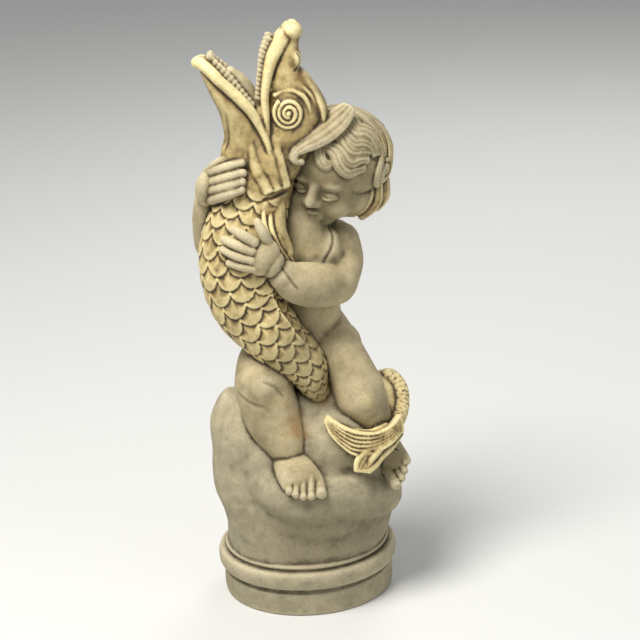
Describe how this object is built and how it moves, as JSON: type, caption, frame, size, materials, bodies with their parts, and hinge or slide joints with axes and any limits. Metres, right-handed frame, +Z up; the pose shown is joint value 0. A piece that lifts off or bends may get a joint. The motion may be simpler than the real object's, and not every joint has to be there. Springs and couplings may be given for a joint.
{
  "type": "concrete garden statue",
  "caption": "Concrete garden statue: a seated child hugs an upright open-mouthed fish, on a rock over a low round base.",
  "frame": {"origin": "centre of the flat underside of the base", "axes": "+Z up along the statue; the viewer of the picture looks along +Y, and +X is to that viewer's right"},
  "size_m": [0.2813, 0.2707, 0.8086],
  "materials": {
    "concrete": "matt cast concrete, grey-green to buff, with a worn antique gold wash on the fish"
  },
  "bodies": {
    "root": {"statue": "concrete"}
  },
  "joints": []
}
